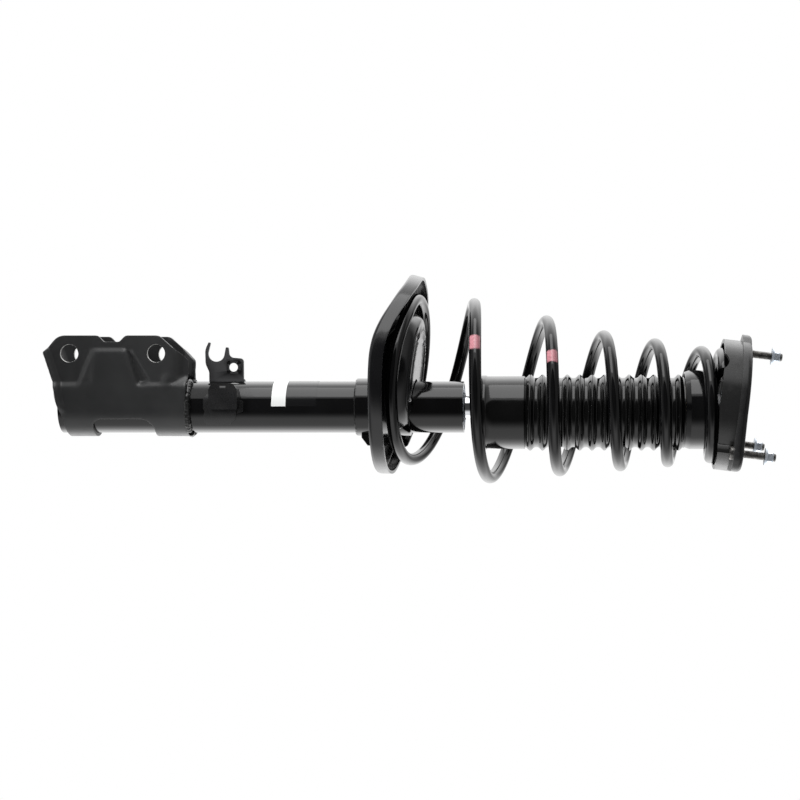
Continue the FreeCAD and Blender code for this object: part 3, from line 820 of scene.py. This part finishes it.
# --------------------------------------------- finishes on the carried nodes
node_looks = {
    "strut_tube": "gloss_black", "tube_base_cap": "gloss_black", "bracket_brace": "satin_black",
    "hose_bracket": "seat_black", "clip_bracket": "clip_paint", "label": "label_film",
    "seat_collar": "gloss_black",
    "pressure_tube": "plain_steel", "base_valve": "plain_steel", "rod_guide": "plain_steel",
    "oil_seal": "seal_rubber", "seal_cap": "zinc_plate", "piston_rod": "rod_chrome", "piston": "plain_steel",
    "piston_band": "piston_band", "piston_nut": "plain_steel", "rebound_stop": "seal_rubber",
    "bump_stop": "bump_foam", "boot_cup": "boot_cup", "lower_washer": "zinc_plate", "bush_sleeve": "plain_steel",
    "upper_washer": "zinc_plate", "rod_nut": "zinc_plate", "mount_plate": "mount_black", "mount_cup": "mount_rubber",
    "upper_spring_insulator": "spring_rubber", "mount_bush": "spring_rubber", "flange_nuts": "zinc_plate",
}
bevels = {"clip_bracket": 1.0, "hose_bracket": 0.35, "mount_cup": 1.2, "flange_nuts": 0.3, "boot_cup": 0.6,
          "bracket_brace": 0.5, "rod_nut": 0.4, "seat_collar": 0.6}
for node, look in node_looks.items():
    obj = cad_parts[node]
    for slot in obj.material_slots:
        slot.link = "OBJECT"
        slot.material = looks[look]
    if node in bevels:
        soft = obj.modifiers.new("soft_edges", "BEVEL")
        soft.width = bevels[node] * MM
        soft.segments = 3
        soft.limit_method = "ANGLE"
        soft.angle_limit = math.radians(40)
        soft.harden_normals = False

# ------------------------------------------------------------ camera, light
scene = bpy.context.scene
scene.view_settings.view_transform = "Standard"
camera_data = bpy.data.cameras.new("camera")
camera = bpy.data.objects.new("camera", camera_data)
scene.collection.objects.link(camera)
scene.camera = camera
camera_place = Vector((-0.022, -1.762, 0.505))      # a long way off, level with the spring
camera_aim = Vector((-0.007, 0.0, 0.505))
forward = (camera_aim - camera_place).normalized()
right = (Vector((0, 0, 1)) - forward * forward.z).normalized()
up = right.cross(forward)
camera.matrix_world = Matrix((
    (right.x, up.x, -forward.x, camera_place.x),
    (right.y, up.y, -forward.y, camera_place.y),
    (right.z, up.z, -forward.z, camera_place.z),
    (0, 0, 0, 1)))
camera_data.sensor_width = 36.0
camera_data.lens = 79.6
camera_data.shift_x = -0.2145


def studio_world():
    """Soft white studio: dark round -Y and towards the two ends, bright above and below and behind, so that gloss
    black shows a dark middle, grey bands and bright edges."""
    world = bpy.data.worlds.new("studio")
    scene.world = world
    world.use_nodes = True
    nodes, links = world.node_tree.nodes, world.node_tree.links
    background = nodes["Background"]
    coords = nodes.new("ShaderNodeTexCoord").outputs["Generated"]
    split = nodes.new("ShaderNodeSeparateXYZ")
    links.new(coords, split.inputs[0])
    side = remap(nodes, links, split.outputs["X"], -0.05, 0.05, 0, 1)
    opens = remap(nodes, links, side, 0, 1, -0.775, -0.93)
    closes = remap(nodes, links, side, 0, 1, -0.735, -0.55)
    glow = nodes.new("ShaderNodeMapRange")
    glow.interpolation_type = "SMOOTHSTEP"
    links.new(split.outputs["Y"], glow.inputs["Value"])
    links.new(opens, glow.inputs["From Min"])
    links.new(closes, glow.inputs["From Max"])
    glow.inputs["To Min"].default_value = 0.06
    glow.inputs["To Max"].default_value = 1.05
    ends = remap(nodes, links, maths(nodes, links, "ABSOLUTE", split.outputs["Z"]), 0.25, 0.70, 1.0, 0.22)
    above = remap(nodes, links, maths(nodes, links, "ABSOLUTE", split.outputs["X"]), 0.20, 0.70, 0.0, 1.0)
    behind = remap(nodes, links, split.outputs["Y"], 0.0, 0.6, 0.0, 1.9)
    lift = maths(nodes, links, "ADD", maths(nodes, links, "MULTIPLY", above, behind),
                 maths(nodes, links, "MULTIPLY", glow.outputs["Result"], ends))
    rays = nodes.new("ShaderNodeLightPath").outputs["Is Camera Ray"]
    links.new(mix_colour(nodes, links, rays, lift, (1.0, 1.0, 1.0)), background.inputs["Color"])


studio_world()


def soft_box(name, place, aim, size, power):
    light = bpy.data.lights.new(name, "AREA")
    light.shape = "RECTANGLE"
    light.size, light.size_y = size
    light.energy = power
    obj = bpy.data.objects.new(name, light)
    obj.location = place
    obj.rotation_mode = "QUATERNION"
    obj.rotation_quaternion = (Vector(aim) - Vector(place)).to_track_quat("-Z", "Y")
    scene.collection.objects.link(obj)
    obj.visible_camera = False
    return obj


soft_box("soft_box_top", (-1.6, -0.5, 0.35), (0, 0, 0.35), (1.6, 1.0), 12)
soft_box("soft_box_left", (-0.45, -1.15, -1.1), (0, 0, 0.1), (0.9, 0.7), 40).visible_glossy = False

# ------------------------------------------------------------------- floor
floor_level, floor_radius, floor_points = -0.23, 0.36, 96
floor_mesh = bpy.data.meshes.new("floor")
ring = circle_loop(-0.03, 0, floor_radius, floor_points)
floor_mesh.from_pydata([(x, y, floor_level) for x, y in ring], [], [tuple(range(floor_points))])
floor = bpy.data.objects.new("floor", floor_mesh)
scene.collection.objects.link(floor)
floor_mesh.materials.append(finish("floor_paint", (0.80, 0.80, 0.80), (0.84, 0.84, 0.84), (0.6, 0.75), grain=300,
                                   grain_depth=0.0001))
